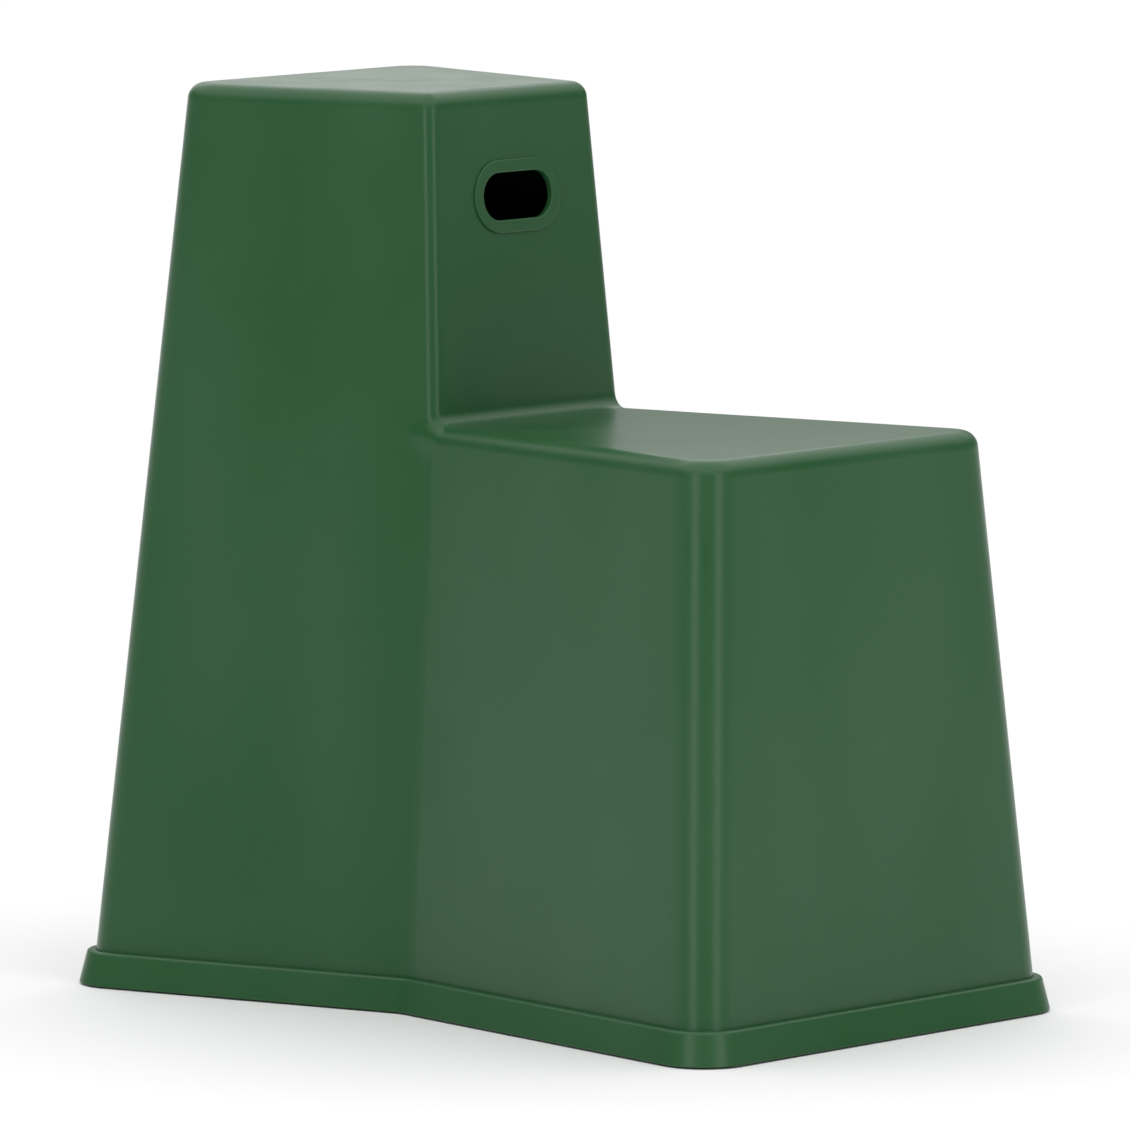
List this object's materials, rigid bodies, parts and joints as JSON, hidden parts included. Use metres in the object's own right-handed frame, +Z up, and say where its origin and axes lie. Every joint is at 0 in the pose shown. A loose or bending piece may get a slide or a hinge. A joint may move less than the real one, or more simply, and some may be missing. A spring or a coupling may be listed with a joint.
{
  "type": "two-level mounting block",
  "caption": "Free-standing moulded plastic mounting block with a tall rear tower, a low front step, drafted walls, a base rim and a hand slot in the riser.",
  "frame": {"origin": "on the floor, at the centre of the footprint's bounding box", "axes": "+Z up, +X from the tall tower towards the low step, Y across; the block is symmetric about the XZ plane"},
  "size_m": [0.739, 0.4612, 0.77],
  "materials": {
    "shell": "satin solid-coloured moulded plastic with a very fine grain",
    "rim": "satin solid-coloured moulded plastic, same colour as the shell",
    "collar": "satin solid-coloured moulded plastic, same colour as the shell",
    "pad": "dull soft rubber",
    "screw": "bright zinc plating"
  },
  "bodies": {
    "root": {"body_shell": "shell", "base_rim": "rim", "grip_collar": "collar", "foot_pad_01": "pad", "foot_pad_02": "pad", "foot_pad_03": "pad", "foot_pad_04": "pad", "foot_pad_05": "pad", "foot_pad_06": "pad", "foot_pad_07": "pad", "foot_pad_08": "pad", "rim_screw_01": "screw", "rim_screw_02": "screw", "rim_screw_03": "screw", "rim_screw_04": "screw", "rim_screw_05": "screw", "rim_screw_06": "screw", "rim_screw_07": "screw", "rim_screw_08": "screw", "rim_screw_09": "screw", "rim_screw_10": "screw", "rim_screw_11": "screw", "rim_screw_12": "screw"}
  },
  "joints": []
}
